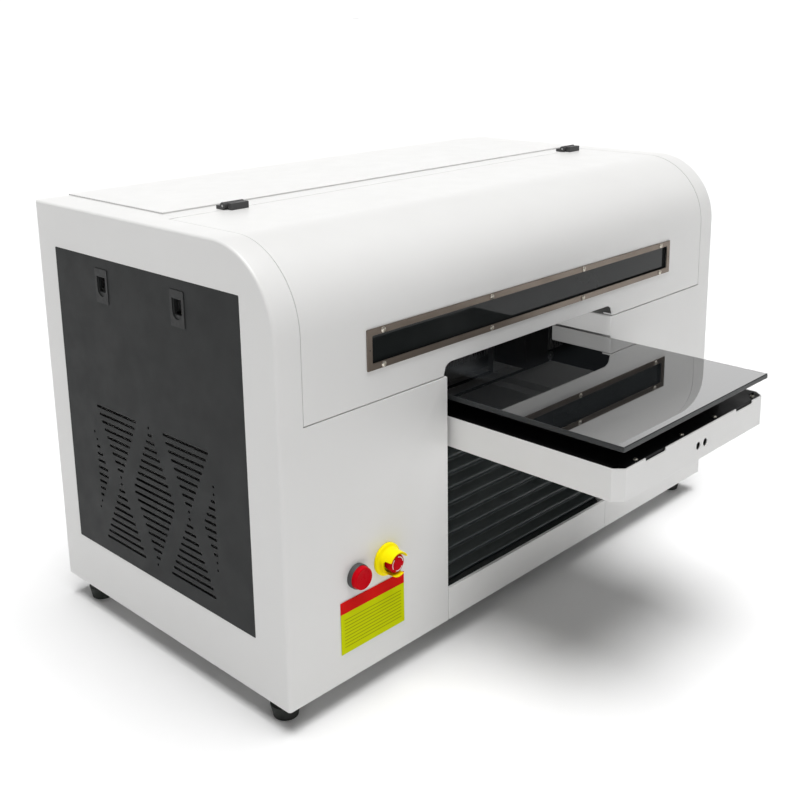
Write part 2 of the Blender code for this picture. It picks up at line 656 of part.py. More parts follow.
def gantry():
    """Beam across the machine with the rail, belt loop, pulleys and motor that move the carriage."""
    half = WIDTH / 2 - SHEET - GAP
    beam = box_part("x_beam", "aluminium", (-half, half), BEAM_Y, BEAM_Z)
    rail_z = (BEAM_Z[0] + BEAM_Z[1]) / 2
    item = box_part("x_rail", "steel", (-0.385, 0.385), (BEAM_Y[0] - GAP - 0.009, BEAM_Y[0] - GAP),
                    (rail_z - 0.006, rail_z + 0.006))
    for edge in (-1, 1):
        cut_slab(item, (-0.5, 0.5), (BEAM_Y[0] - 0.0065, BEAM_Y[0] - 0.0035),
                 sorted((rail_z + edge * 0.0045, rail_z + edge * 0.01)))
    for name, x in (("drive_pulley", -PULLEY_X), ("idler_pulley", PULLEY_X)):
        bm = bmesh.new()
        rod(bm, (x, BELT_Y - 0.004, BELT_Z), (x, BELT_Y + 0.004, BELT_Z), PULLEY_RADIUS, sides=20)
        item = part(name, "aluminium", bm, (x, BELT_Y, BELT_Z))
        if name == "drive_pulley":
            bm = bmesh.new()
            rod(bm, (x, BELT_Y, BELT_Z), (x, BEAM_Y[0] + 0.004, BELT_Z), 0.003, sides=12)
            join(item, bm)
    box_part("x_motor", "black_plastic", (-PULLEY_X - 0.020, -PULLEY_X + 0.020),
             (BEAM_Y[0] + 0.0045, BEAM_Y[0] + 0.044), (BEAM_Z[1] + GAP, BEAM_Z[1] + 0.040))
    join_slab(beam, (PULLEY_X - 0.010, PULLEY_X + 0.010), (BEAM_Y[0] + 0.002, BEAM_Y[0] + 0.010),
              (BEAM_Z[1] - 0.002, BEAM_Z[1] + 0.026))
    bm = bmesh.new()
    rod(bm, (PULLEY_X, BELT_Y - 0.006, BELT_Z), (PULLEY_X, BEAM_Y[0] + 0.004, BELT_Z), 0.0027, sides=12)
    join(beam, bm)
    bm = bmesh.new()
    rod(bm, (PULLEY_X, BELT_Y - 0.02, BELT_Z), (PULLEY_X, BELT_Y + 0.02, BELT_Z), 0.003, sides=12)
    cut(bpy.data.objects["idler_pulley"], bm)

    outer, inner = PULLEY_RADIUS + GAP + 0.0014, PULLEY_RADIUS + GAP
    item = part("x_belt", "rubber", belt_loop(outer, 0.003))
    cut(item, belt_loop(inner, 0.01))


def belt_loop(radius, half_width):
    steps = 8
    outline = []
    for centre, start in ((PULLEY_X, -math.pi / 2), (-PULLEY_X, math.pi / 2)):
        for i in range(steps + 1):
            angle = start + i * math.pi / steps
            outline.append((centre + radius * math.cos(angle), BELT_Z + radius * math.sin(angle)))
    bm = bmesh.new()
    prism(bm, outline, 1, BELT_Y - half_width, BELT_Y + half_width)
    return bm


def carriage():
    """Carriage plate on the rail with the print head and the curing lamp beside it, parked at the right."""
    x = PARK_X
    rail_z = (BEAM_Z[0] + BEAM_Z[1]) / 2
    back = BEAM_Y[0] - GAP - 0.009 - GAP
    item = box_part("carriage", "aluminium", (x - 0.055, x + 0.055), (back - 0.010, back),
                    (HEAD_LOW + 0.030, BEAM_Z[1] + 0.003))
    block = (x - 0.024, x + 0.024)
    for side in (-1, 1):
        join_slab(item, block, (back - 0.001, BEAM_Y[0] - 0.0015),
                  sorted((rail_z + side * 0.0064, rail_z + side * 0.014)))
    join_slab(item, (x - 0.012, x + 0.012), (back - 0.006, BELT_Y - 0.0033),
              (BEAM_Z[1] - 0.004, BELT_Z - 0.0055))
    join_slab(item, (x - 0.012, x + 0.012), (back - 0.006, BELT_Y + 0.0025),
              (BEAM_Z[1] + 0.0005, BELT_Z - PULLEY_RADIUS - 0.0021))
    front = back - 0.010 - GAP
    item = box_part("print_head", "black_plastic", (x - 0.052, x + 0.006), (front - 0.062, front),
                    (HEAD_LOW + 0.012, HEAD_LOW + 0.095))
    join_slab(item, (x - 0.046, x + 0.000), (front - 0.054, front - 0.008), (HEAD_LOW, HEAD_LOW + 0.013))
    box_part("uv_lamp", "steel", (x + 0.009, x + 0.052), (front - 0.058, front),
             (HEAD_LOW + 0.004, HEAD_LOW + 0.080))


def service_parts():
    """Capping station under the parked head, ink tanks under the rear cover, and the power supply."""
    x = PARK_X
    low = BASE_TOP + GAP
    front = BEAM_Y[0] - GAP - 0.009 - GAP - 0.010 - GAP
    item = box_part("capping_station", "grey_plastic", (x - 0.050, x + 0.045),
                    (front - 0.062, front + 0.005),
                    (HEAD_LOW - 0.040, HEAD_LOW - 0.004))
    cut_slab(item, (x - 0.044, x + 0.000), (front - 0.052, front - 0.010), (HEAD_LOW - 0.010, HEAD_LOW))
    join_slab(item, (x + 0.002, x + 0.030), (front - 0.045, front - 0.015), (low, HEAD_LOW - 0.038))

    ys = (BACK - SHEET - 0.100, BACK - SHEET - 0.012)
    shelf = BEAM_Z[1] + GAP + 0.003
    item = box_part("ink_tanks", "grey_plastic", (-0.330, -0.045), ys, (shelf, TOP - 0.030))
    join_slab(item, (-0.335, -0.040), (BEAM_Y[1] - 0.012, ys[1]), (shelf - 0.003, shelf + 0.001))

    box_part("power_supply", "steel", (-0.395, -0.285), (FRONT + 0.130, FRONT + 0.345), (low, low + 0.050))


side_casing("left_side_casing", -1, OPENING[0])
side_casing("right_side_casing", 1, OPENING[1])
base_and_sill()
top_and_back()
power_inlet()
for side_name, side_sign in (("left", -1), ("right", 1)):
    service_panel(f"{side_name}_service_panel", side_sign)
    for latch_name, latch_y in zip(("front", "rear"), LATCH_Y):
        latch(f"{side_name}_latch_{latch_name}", side_sign, latch_y)
hood()
window()
hood_hinge("left", LEFT + 0.124)
hood_hinge("right", LEFT + 0.795)
panel_controls()
foot_x, foot_y = WIDTH / 2 - 0.026, 0.039
foot("foot_front_left", -foot_x, FRONT + foot_y)
foot("foot_front_right", foot_x, FRONT + foot_y)
foot("foot_rear_left", -foot_x, BACK - foot_y)
foot("foot_rear_right", foot_x, BACK - foot_y)
bellows()
tray()
bed()
bed_slide()
lift()
gantry()
carriage()
service_parts()
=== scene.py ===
"""Looks of a desktop flatbed UV printer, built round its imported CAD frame.

Metres, +Z up; the front faces -Y and the operator's left is -X. Places and sizes come from the
frame's own boxes. Pieces whose CAD shape is already right are copied with softened edges.
"""

import json
import math

import bmesh
import bpy
from mathutils import Matrix, Vector

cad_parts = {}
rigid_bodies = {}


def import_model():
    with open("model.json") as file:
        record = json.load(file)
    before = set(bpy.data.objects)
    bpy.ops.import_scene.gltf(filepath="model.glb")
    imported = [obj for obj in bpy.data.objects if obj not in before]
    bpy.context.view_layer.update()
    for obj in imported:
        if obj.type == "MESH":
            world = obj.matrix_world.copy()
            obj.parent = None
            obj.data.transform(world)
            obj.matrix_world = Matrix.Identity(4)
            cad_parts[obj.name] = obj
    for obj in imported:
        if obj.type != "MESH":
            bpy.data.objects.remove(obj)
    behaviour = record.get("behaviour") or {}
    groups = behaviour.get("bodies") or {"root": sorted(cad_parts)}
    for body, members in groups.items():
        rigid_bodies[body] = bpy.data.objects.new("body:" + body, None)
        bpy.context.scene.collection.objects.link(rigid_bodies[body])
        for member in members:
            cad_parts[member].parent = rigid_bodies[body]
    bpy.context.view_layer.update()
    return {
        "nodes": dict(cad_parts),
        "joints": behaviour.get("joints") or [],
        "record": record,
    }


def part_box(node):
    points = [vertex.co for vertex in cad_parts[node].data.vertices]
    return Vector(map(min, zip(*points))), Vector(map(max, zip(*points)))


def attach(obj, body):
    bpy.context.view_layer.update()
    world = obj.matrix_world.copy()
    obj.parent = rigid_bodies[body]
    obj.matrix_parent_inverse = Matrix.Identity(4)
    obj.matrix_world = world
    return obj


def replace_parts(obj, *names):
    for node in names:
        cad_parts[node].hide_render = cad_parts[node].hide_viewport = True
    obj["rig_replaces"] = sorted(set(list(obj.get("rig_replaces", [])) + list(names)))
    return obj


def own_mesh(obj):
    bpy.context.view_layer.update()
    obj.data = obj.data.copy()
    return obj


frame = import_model()

GAP = 0.0003            # clearance between pieces that touch
SHEET = 0.002           # folded steel sheet
CORNER = 0.096          # radius of the rolled front top edge
FRONT_BOX = 0.100       # depth of the boxes either side of the bed opening
HOOD_GAP = 0.0008       # seam between the hood and the side casings
SAME = 0.0001           # places closer than this count as one
OVER = 0.01             # how far a cutter runs past the piece it cuts
ARC_STEPS = 36
OUTWARD = (0, -1, 0)    # out of the front


def low(node):
    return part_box(node)[0]


def high(node):
    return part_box(node)[1]


LEFT = low("left_side_casing").x
RIGHT = high("right_side_casing").x
FRONT = low("left_side_casing").y
BACK = high("left_side_casing").y
BOTTOM = low("left_side_casing").z
TOP = high("left_side_casing").z
HOOD_X = (low("hood").x, high("hood").x)
HOOD_LOW = low("hood").z
HOOD_REAR = high("hood").y
BAR_X = (low("top_crossbar").x, high("top_crossbar").x)
OPENING = (low("front_sill").x - GAP, high("front_sill").x + GAP)
BED_X = (OPENING[0] + OPENING[1]) / 2


# Shapes: each adds one closed body to a bmesh, in frame coordinates.

def slab(bm, xs, ys, zs):
    made = bmesh.ops.create_cube(bm, size=1.0)["verts"]
    for vert in made:
        vert.co.x = xs[0] if vert.co.x < 0 else xs[1]
        vert.co.y = ys[0] if vert.co.y < 0 else ys[1]
        vert.co.z = zs[0] if vert.co.z < 0 else zs[1]


def rod(bm, start, end, radius, end_radius=None, sides=32):
    start, end = Vector(start), Vector(end)
    span = end - start
    made = bmesh.ops.create_cone(
        bm, cap_ends=True, segments=sides, depth=span.length,
        radius1=radius, radius2=radius if end_radius is None else end_radius,
    )["verts"]
    turn = Vector((0, 0, 1)).rotation_difference(span).to_matrix().to_4x4()
    bmesh.ops.transform(bm, matrix=turn, verts=made)
    bmesh.ops.translate(bm, vec=(start + end) / 2, verts=made)


def prism(bm, outline, axis, start, end):
    """Extrudes a closed outline along axis 0, 1 or 2; the outline gives the other two."""
    corners = []
    for first, second in outline:
        place = [first, second]
        place.insert(axis, start)
        corners.append(bm.verts.new(place))
    face = bm.faces.new(corners)
    grown = bmesh.ops.extrude_face_region(bm, geom=[face])["geom"]
    step = [0.0, 0.0, 0.0]
    step[axis] = end - start
    bmesh.ops.translate(bm, vec=step, verts=[g for g in grown if isinstance(g, bmesh.types.BMVert)])
    bmesh.ops.recalc_face_normals(bm, faces=bm.faces)


def turned(bm, profile, place, axis, sides=48):
    """Turns a profile of (distance along axis, radius) pairs about an axis through place."""
    axis = Vector(axis).normalized()
    turn = Vector((0, 0, 1)).rotation_difference(axis).to_matrix()
    rings = []
    for along, radius in profile:
        ring = []
        for i in range(sides):
            angle = 2 * math.pi * i / sides
            flat = Vector((radius * math.cos(angle), radius * math.sin(angle), along))
            ring.append(bm.verts.new(Vector(place) + turn @ flat))
        rings.append(ring)
    for first, second in zip(rings, rings[1:]):
        for i in range(sides):
            j = (i + 1) % sides
            bm.faces.new((first[i], first[j], second[j], second[i]))
    bm.faces.new(list(reversed(rings[0])))
    bm.faces.new(rings[-1])
    bmesh.ops.recalc_face_normals(bm, faces=bm.faces)


def arc(centre, radius, start, end, steps):
    points = []
    for i in range(steps + 1):
        angle = start + (end - start) * i / steps
        points.append((centre[0] + radius * math.cos(angle), centre[1] + radius * math.sin(angle)))
    return points


def rounded_box(first, second, radius, steps=6):
    """Outline of a rectangle with rounded corners, from its two pairs of limits."""
    points = []
    for corner, (a, b) in enumerate(((1, 1), (0, 1), (0, 0), (1, 0))):
        centre = (first[a] - radius if a else first[a] + radius,
                  second[b] - radius if b else second[b] + radius)
        start = corner * math.pi / 2
        points += arc(centre, radius, start, start + math.pi / 2, steps)
    return points


def shape(*adds):
    """A bmesh filled by calls such as (slab, xs, ys, zs)."""
    bm = bmesh.new()
    for add, *values in adds:
        add(bm, *values)
    return bm


def new_item(name, bm):
    mesh = bpy.data.meshes.new(name)
    bm.to_mesh(mesh)
    bm.free()
    item = bpy.data.objects.new(name, mesh)
    bpy.context.scene.collection.objects.link(item)
    return item


def combine(item, bm, operation):
    """Applies a boolean at once, so that no cutter stays in the scene."""
    tool = new_item("tool", bm)
    step = item.modifiers.new("step", "BOOLEAN")
    step.operation = operation
    step.solver = "EXACT"
    step.object = tool
    bpy.context.view_layer.update()
    graph = bpy.context.evaluated_depsgraph_get()
    mesh = bpy.data.meshes.new_from_object(item.evaluated_get(graph))
    item.modifiers.clear()
    item.data = mesh
    bpy.data.objects.remove(tool, do_unlink=True)


def cut(item, bm):
    combine(item, bm, "DIFFERENCE")


def join(item, bm):
    combine(item, bm, "UNION")


def clean(item):
    """Welds doubled corners, removes edges inside flat faces and drops imported normals."""
    bm = bmesh.new()
    bm.from_mesh(item.data)
    bmesh.ops.remove_doubles(bm, verts=bm.verts, dist=0.000002)
    bmesh.ops.dissolve_limit(bm, angle_limit=math.radians(0.5), verts=bm.verts, edges=bm.edges)
    bm.to_mesh(item.data)
    bm.free()
    imported = item.data.attributes.get("custom_normal")
    if imported:
        item.data.attributes.remove(imported)


def round_edges(item, radius, chosen, segments=5):
    """Rounds the sharp outer edges for which chosen(middle, direction) is true."""
    clean(item)
    bm = bmesh.new()
    bm.from_mesh(item.data)
    picked = []
    for edge in bm.edges:
        if len(edge.link_faces) != 2 or edge.calc_face_angle_signed() < math.radians(40):
            continue
        ends = [v.co for v in edge.verts]
        if chosen((ends[0] + ends[1]) / 2, (ends[1] - ends[0]).normalized()):
            picked.append(edge)
    bmesh.ops.bevel(bm, geom=picked, offset=radius, offset_type="OFFSET", segments=segments,
                    profile=0.5, affect="EDGES", clamp_overlap=True)
    bm.to_mesh(item.data)
    bm.free()


def soften(item, width=0.0004, segments=2):
    """Small rounded edges all over, with flat faces kept flat."""
    item.data.shade_smooth()
    step = item.modifiers.new("edges", "BEVEL")
    step.width = width
    step.segments = segments
    step.limit_method = "ANGLE"
    step.angle_limit = math.radians(32)
    step.harden_normals = True
    step.use_clamp_overlap = True


def place(item, body, looks, *nodes):
    """Finishes a piece: its material, the body it rides on and the CAD nodes it stands for."""
    item.data.materials.clear()
    item.data.materials.append(LOOKS[looks])
    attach(item, body)
    if nodes:
        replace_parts(item, *nodes)
    return item


def refine(node, body, width=0.0004, segments=2, looks=None):
    """A copy of a CAD node with softened edges, standing for it."""
    item = bpy.data.objects.new(node + "_finished", frame["nodes"][node].data.copy())
    bpy.context.scene.collection.objects.link(item)
    slot = looks or item.data.materials[0].name
    clean(item)
    soften(item, width, segments)
    return place(item, body, slot, node)


# Materials. Each is procedural, with its own grain, roughness variation and bump.

LOOKS = {}
WAVE_PERIOD = 0.314             # metres from band to band of a wave texture of scale 1
MIX_FACTOR, MIX_FIRST, MIX_SECOND, MIX_RESULT = 0, 6, 7, 2      # colour sockets of a Mix node


class Finish:
    """A Principled material with helpers that hang procedural detail on it."""

    def __init__(self, name, colour, roughness, metallic=0.0, **values):
        self.made = bpy.data.materials.new(name + "_look")
        self.made.use_nodes = True
        self.shader = self.made.node_tree.nodes["Principled BSDF"]
        self.colour = (*colour, 1.0)
        self.shader.inputs["Base Color"].default_value = self.colour
        self.shader.inputs["Roughness"].default_value = roughness
        self.shader.inputs["Metallic"].default_value = metallic
        for socket, value in values.items():
            self.shader.inputs[socket.replace("_", " ")].default_value = value
        self.place = self.node("ShaderNodeTexCoord").outputs["Object"]
        self.height = None
        LOOKS[name] = self.made

    def node(self, kind):
        return self.made.node_tree.nodes.new(kind)

    def link(self, start, end):
        self.made.node_tree.links.new(start, end)

    def noise(self, scale, detail=3.0, stretch=(1, 1, 1), distortion=0.0):
        mapping = self.node("ShaderNodeMapping")
        mapping.inputs["Scale"].default_value = stretch
        self.link(self.place, mapping.inputs["Vector"])
        texture = self.node("ShaderNodeTexNoise")
        texture.inputs["Scale"].default_value = scale
        texture.inputs["Detail"].default_value = detail
        texture.inputs["Distortion"].default_value = distortion
        self.link(mapping.outputs["Vector"], texture.inputs["Vector"])
        return texture.outputs["Fac"]

    def ranged(self, value, start, end, source=(0.3, 0.7)):
        step = self.node("ShaderNodeMapRange")
        step.inputs["From Min"].default_value = source[0]
        step.inputs["From Max"].default_value = source[1]
        step.inputs["To Min"].default_value = start
        step.inputs["To Max"].default_value = end
        self.link(value, step.inputs["Value"])
        return step.outputs["Result"]

    def product(self, first, second):
        step = self.node("ShaderNodeMath")
        step.operation = "MULTIPLY"
        self.link(first, step.inputs[0])
        self.link(second, step.inputs[1])
        return step.outputs["Value"]

    def tint(self, value, other, start=0.3, end=0.7):
        """Blends the base colour towards another where the value is high."""
        mix = self.node("ShaderNodeMix")
        mix.data_type = "RGBA"
        source = self.shader.inputs["Base Color"]
        if source.links:
            self.link(source.links[0].from_socket, mix.inputs[MIX_FIRST])
        else:
            mix.inputs[MIX_FIRST].default_value = self.colour
        mix.inputs[MIX_SECOND].default_value = (*other, 1.0)
        self.link(self.ranged(value, 0.0, 1.0, (start, end)), mix.inputs[MIX_FACTOR])
        self.link(mix.outputs[MIX_RESULT], source)

    def rough(self, value, start, end):
        self.link(self.ranged(value, start, end), self.shader.inputs["Roughness"])

    def bump(self, value, distance, strength=1.0):
        step = self.node("ShaderNodeBump")
        step.inputs["Distance"].default_value = distance
        step.inputs["Strength"].default_value = strength
        self.link(value, step.inputs["Height"])
        if self.height:
            self.link(self.height, step.inputs["Normal"])
        self.height = step.outputs["Normal"]
        self.link(self.height, self.shader.inputs["Normal"])

    def wave(self, scale, direction, profile="SIN", phase=0.0):
        texture = self.node("ShaderNodeTexWave")
        texture.wave_type = "BANDS"
        texture.bands_direction = direction
        texture.wave_profile = profile
        texture.inputs["Scale"].default_value = scale
        texture.inputs["Distortion"].default_value = 0.0
        texture.inputs["Phase Offset"].default_value = phase
        self.link(self.place, texture.inputs["Vector"])
        return texture.outputs["Fac"]


def painted(name, colour, shade, roughness, orange_peel, grain, **values):
    """Powder coat: faint cloudy tone, orange peel and a fine grain."""
    made = Finish(name, colour, roughness, 0.0, **values)
    made.tint(made.noise(7.0, 4.0), shade, 0.35, 0.75)
    made.rough(made.noise(38.0, 4.0), roughness - 0.05, roughness + 0.06)
    made.bump(made.noise(420.0, 2.0), orange_peel)
    made.bump(made.noise(2600.0, 2.0), grain)
    return made


def bare_metal(name, colour, shade, roughness, brush):
    """Machined or ground metal with its lay along one axis and small stains."""
    made = Finish(name, colour, roughness, 1.0)
    made.tint(made.noise(24.0, 5.0), shade, 0.4, 0.8)
    made.rough(made.noise(900.0, 3.0, brush), roughness - 0.08, roughness + 0.12)
    made.bump(made.noise(1500.0, 2.0, brush), 0.00002)
    return made


def moulded(name, colour, shade, roughness, texture_depth, **values):
    """Moulded plastic: spark-eroded texture and slight sheen changes."""
    made = Finish(name, colour, roughness, 0.0, **values)
    made.tint(made.noise(60.0, 3.0), shade, 0.4, 0.75)
    made.rough(made.noise(150.0, 4.0), roughness - 0.06, roughness + 0.08)
    made.bump(made.noise(3200.0, 3.0), texture_depth)
    return made


def tinted_acrylic():
    """Smoked window pane, glossy and slightly uneven."""
    made = Finish("tinted_acrylic", (0.010, 0.012, 0.012), 0.03, 0.0, IOR=1.32)
    made.tint(made.noise(9.0, 3.0), (0.022, 0.024, 0.024), 0.3, 0.8)
    made.rough(made.noise(30.0, 4.0), 0.02, 0.06)
    made.bump(made.noise(14.0, 2.0), 0.0001, 0.3)


def black_glass():
    """Polished black glass, with a faint haze from handling."""
    made = Finish("black_glass", (0.006, 0.007, 0.008), 0.02, 0.0, IOR=2.2, Coat_Weight=1.0,
                  Coat_IOR=2.2, Coat_Roughness=0.01)
    made.tint(made.noise(5.0, 4.0), (0.011, 0.012, 0.013), 0.35, 0.8)
    made.rough(made.noise(16.0, 5.0, (1, 1, 1), 0.6), 0.008, 0.035)
    made.bump(made.noise(30.0, 3.0), 0.00001, 0.2)


def glass_edge():
    """The platen's ground edge, dark and satin."""
    made = Finish("glass_edge", (0.018, 0.020, 0.021), 0.35, 0.0, IOR=1.50,
                  Specular_IOR_Level=0.35)
    made.tint(made.noise(30.0, 4.0, (0.1, 0.1, 1)), (0.035, 0.038, 0.040), 0.4, 0.8)
    made.rough(made.noise(300.0, 3.0), 0.28, 0.45)
    made.bump(made.noise(900.0, 2.0), 0.00001)


PLEAT = 0.0200                  # height of one fold of the skirt


def pleated_cloth():
    """Coated cloth with a fine irregular weave, its fold crests painted lighter as a painted highlight.
    """
    made = Finish("cloth", (0.006, 0.010, 0.010), 0.45, 0.0, Specular_IOR_Level=0.30)
    made.tint(made.noise(14.0, 4.0), (0.011, 0.016, 0.016), 0.35, 0.75)
    phase = -2 * math.pi * high("bellows").z / PLEAT
    # Painted highlight: a lighter band on each fold crest, where the folds would catch the light.
    made.tint(made.wave(WAVE_PERIOD / PLEAT, "Z", "SIN", phase), (0.034, 0.041, 0.041), 0.970, 0.999)
    made.rough(made.noise(90.0, 3.0), 0.38, 0.52)
    made.bump(made.noise(1400.0, 2.0, (1, 1, 0.4)), 0.00003)
    made.bump(made.noise(9.0, 3.0), 0.0010, 0.5)


def notice_finish():
    """Red strip over a yellow field with darker ruled lines, under a satin film."""
    plate_low, plate_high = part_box("label_plate")
    header = plate_high.z - 0.0145
    margin = 0.0050
    line_pitch = 0.0042
    crisp = 0.0002
    made = Finish("notice", (0.60, 0.66, 0.001), 0.36, 0.0, Specular_IOR_Level=0.02)
    split = made.node("ShaderNodeSeparateXYZ")
    made.link(made.place, split.inputs["Vector"])
    ruled = made.wave(WAVE_PERIOD / line_pitch, "Z")
    for socket, edge, inward in (
        ("X", plate_low.x, 1),
        ("X", plate_high.x, -1),
        ("Z", plate_low.z, 1),
        ("Z", header, -1),
    ):
        start = edge + inward * margin
        within = made.ranged(split.outputs[socket], 0.0, 1.0, (start, start + inward * crisp))
        ruled = made.product(ruled, within)
    made.tint(ruled, (0.30, 0.33, 0.004), 0.80, 0.92)
    made.tint(split.outputs["Z"], (0.66, 0.010, 0.008), header, header + crisp)
    made.rough(made.noise(60.0, 3.0), 0.30, 0.42)
    made.bump(made.noise(900.0, 2.0), 0.00001)


painted("white_paint", (0.755, 0.752, 0.742), (0.77, 0.767, 0.757), 0.36, 0.000012, 0.000004)
painted("charcoal_paint", (0.025, 0.0265, 0.0268), (0.029, 0.030, 0.030), 0.50, 0.00003, 0.00002,
        Specular_IOR_Level=0.14)
bare_metal("bronze", (0.215, 0.180, 0.150), (0.185, 0.150, 0.122), 0.36, (0.04, 1, 1))
bare_metal("screw_steel", (0.72, 0.68, 0.60), (0.60, 0.56, 0.49), 0.30, (1, 1, 1))
bare_metal("aluminium", (0.62, 0.63, 0.64), (0.52, 0.53, 0.54), 0.34, (0.05, 1, 1))
painted("black_aluminium", (0.006, 0.006, 0.007), (0.010, 0.010, 0.011), 0.50, 0.00001, 0.00002,
        Specular_IOR_Level=0.2)
moulded("latch_plastic", (0.022, 0.023, 0.023), (0.028, 0.029, 0.029), 0.46, 0.00002,
        Specular_IOR_Level=0.25)
bare_metal("steel", (0.56, 0.56, 0.57), (0.47, 0.47, 0.48), 0.24, (1, 1, 0.06))
moulded("black_plastic", (0.022, 0.022, 0.023), (0.032, 0.032, 0.033), 0.46, 0.00002)
moulded("grey_plastic", (0.060, 0.059, 0.061), (0.078, 0.077, 0.078), 0.50, 0.00002)
moulded("rubber", (0.016, 0.019, 0.016), (0.028, 0.030, 0.027), 0.72, 0.00005)
moulded("red_plastic", (0.58, 0.002, 0.009), (0.52, 0.002, 0.008), 0.30, 0.000006,
        Specular_IOR_Level=0.03)
moulded("yellow_plastic", (1.0, 0.86, 0.001), (0.96, 0.80, 0.001), 0.38, 0.00001,
        Specular_IOR_Level=0.06)
tinted_acrylic()
black_glass()
glass_edge()
pleated_cloth()
notice_finish()
painted("floor_paint", (0.86, 0.86, 0.86), (0.865, 0.865, 0.865), 0.85, 0.00001, 0.00001)


# Casing

def side_outline(inset):
    """The casing seen from the side, as y and z, set in all round."""
    radius = CORNER - inset
    points = [(FRONT + inset, BOTTOM + inset)]
    points += arc((FRONT + CORNER, TOP - CORNER), radius, math.pi, math.pi / 2, ARC_STEPS)
    points += [(BACK - inset, TOP - inset), (BACK - inset, BOTTOM + inset)]
    return points


PANEL_LOW, PANEL_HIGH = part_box("left_service_panel")
RAIL_GAP = 0.0011       # between the hood's rear edge and the rail
RAIL_DEPTH = 0.010      # rail beside the crossbar and rear cover, from the top down


def side_casing(name, side):
    """Side plate with a rolled edge, the rail beside the rear cover and the box by the bed opening."""
    outer = LEFT if side < 0 else RIGHT
    root = outer - side * 0.017     # boxes and rail start inside the side plate
    band = HOOD_X[0] - HOOD_GAP if side < 0 else HOOD_X[1] + HOOD_GAP
    rail = BAR_X[0] - GAP if side < 0 else BAR_X[1] + GAP
    opening = OPENING[0] if side < 0 else OPENING[1]
    shelf = HOOD_LOW - 0.001
    item = new_item(name + "_finished", shape((prism, side_outline(0), 0, outer, band)))
    join(item, shape((slab, sorted((root, opening)), (FRONT, FRONT + FRONT_BOX), (BOTTOM, shelf))))
    join(item, shape((slab, sorted((root, rail)), (HOOD_REAR + RAIL_GAP, BACK),
                      (TOP - RAIL_DEPTH, TOP))))

    def outer_edge(middle, along):
        return abs(middle.x - outer) < SAME and middle.z > BOTTOM + SAME

    def opening_corner(middle, along):
        return abs(middle.x - opening) < SAME and abs(middle.z - shelf) < SAME

    def opening_edge(middle, along):
        on_front = abs(middle.y - FRONT) < SAME
        by_opening = abs(middle.x - opening) < 0.004 or middle.z > shelf - 0.004
        return on_front and by_opening and middle.z < shelf + 0.001

    round_edges(item, 0.0035, outer_edge)
    round_edges(item, 0.0030, opening_corner)
    round_edges(item, 0.0014, opening_edge, 4)
    cut(item, shape((prism, side_outline(SHEET), 0, outer - side * SHEET, band - side * 0.020)))
    inside = sorted((outer - side * SHEET * 2, opening + side * SHEET))
    deep = (FRONT + SHEET, FRONT + FRONT_BOX + OVER)
    cut(item, shape((slab, inside, deep, (BOTTOM + SHEET, shelf - SHEET))))
    floor_top = high("base_plate").z + GAP
    cut(item, shape((slab, sorted((opening + side * OVER, opening - side * OVER)), deep,
                     (BOTTOM + SHEET, floor_top))))
    aperture = rounded_box((PANEL_LOW.y - GAP, PANEL_HIGH.y + GAP),
                           (PANEL_LOW.z - GAP, PANEL_HIGH.z + GAP), 0.0015)
    cut(item, shape((prism, aperture, 0, *sorted((outer - side * OVER, outer + side * OVER)))))
    clean(item)
    soften(item)
    place(item, "casing", "white_paint", name)


VENT_ROWS = 20
VENT_PITCH = 0.00925
VENT_SLOT = 0.0035
VENT_PERIOD = 0.1418            # from one diamond to the next
VENT_REACH = 0.0437             # half width of a diamond, and of a triangle's base
VENT_STRAY = 0.0025             # how far past the field's edge a slot may end and still leave a dot
VENT_LOW = BOTTOM + 0.0905
VENT_Y = (FRONT + 0.1150, FRONT + 0.3600)
VENT_MIDDLE = FRONT + 0.2375


def vent_slots(row):
    """One row of the field of diamonds and the triangles between them, as y ranges."""
    rise = abs(row - (VENT_ROWS - 1) / 2) / ((VENT_ROWS - 1) / 2)
    slots = []
    for half_steps in range(-2, 3):
        centre = VENT_MIDDLE + half_steps * VENT_PERIOD / 2
        reach = VENT_REACH * (rise if half_steps % 2 else 1 - rise)
        start = max(centre - reach, VENT_Y[0])
        end = min(centre + reach, VENT_Y[1])
        if end - start > -VENT_STRAY:
            slots.append((start, max(end, start + VENT_SLOT)))
    return slots


def slot_outline(ys, z):
    """A round-ended slot as y and z points."""
    radius = VENT_SLOT / 2
    left, right = ys[0] + radius, max(ys[1] - radius, ys[0] + radius + 0.00001)
    points = arc((right, z), radius, -math.pi / 2, math.pi / 2, 4)
    points += arc((left, z), radius, math.pi / 2, 1.5 * math.pi, 4)
    return points


def service_panel(name, side):
    """Charcoal cover with its vent field, and a window at the top for each latch."""
    panel_low, panel_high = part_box(name)
    xs = (panel_low.x, panel_high.x)
    outline = rounded_box((panel_low.y, panel_high.y), (panel_low.z, panel_high.z), 0.0012)
    item = new_item(name + "_finished", shape((prism, outline, 0, *xs)))
    through = (xs[0] - 0.005, xs[1] + 0.005)
    bm = bmesh.new()
    for row in range(VENT_ROWS):
        for ys in vent_slots(row):
            prism(bm, slot_outline(ys, VENT_LOW + row * VENT_PITCH), 0, *through)
    side_name = name.split("_")[0]
    for where in ("front", "rear"):
        latch_low, latch_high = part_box(f"{side_name}_latch_{where}")
        face_low, face_high = LATCH_FACE[side_name, where]
        opening = rounded_box((latch_low.y - GAP, latch_high.y + GAP),
                              (face_low - LATCH_TRAVEL - GAP, face_high + GAP), 0.0012, 4)
        prism(bm, opening, 0, *through)
    cut(item, bm)
    soften(item, 0.0003, 2)
    place(item, "casing", "charcoal_paint", name)


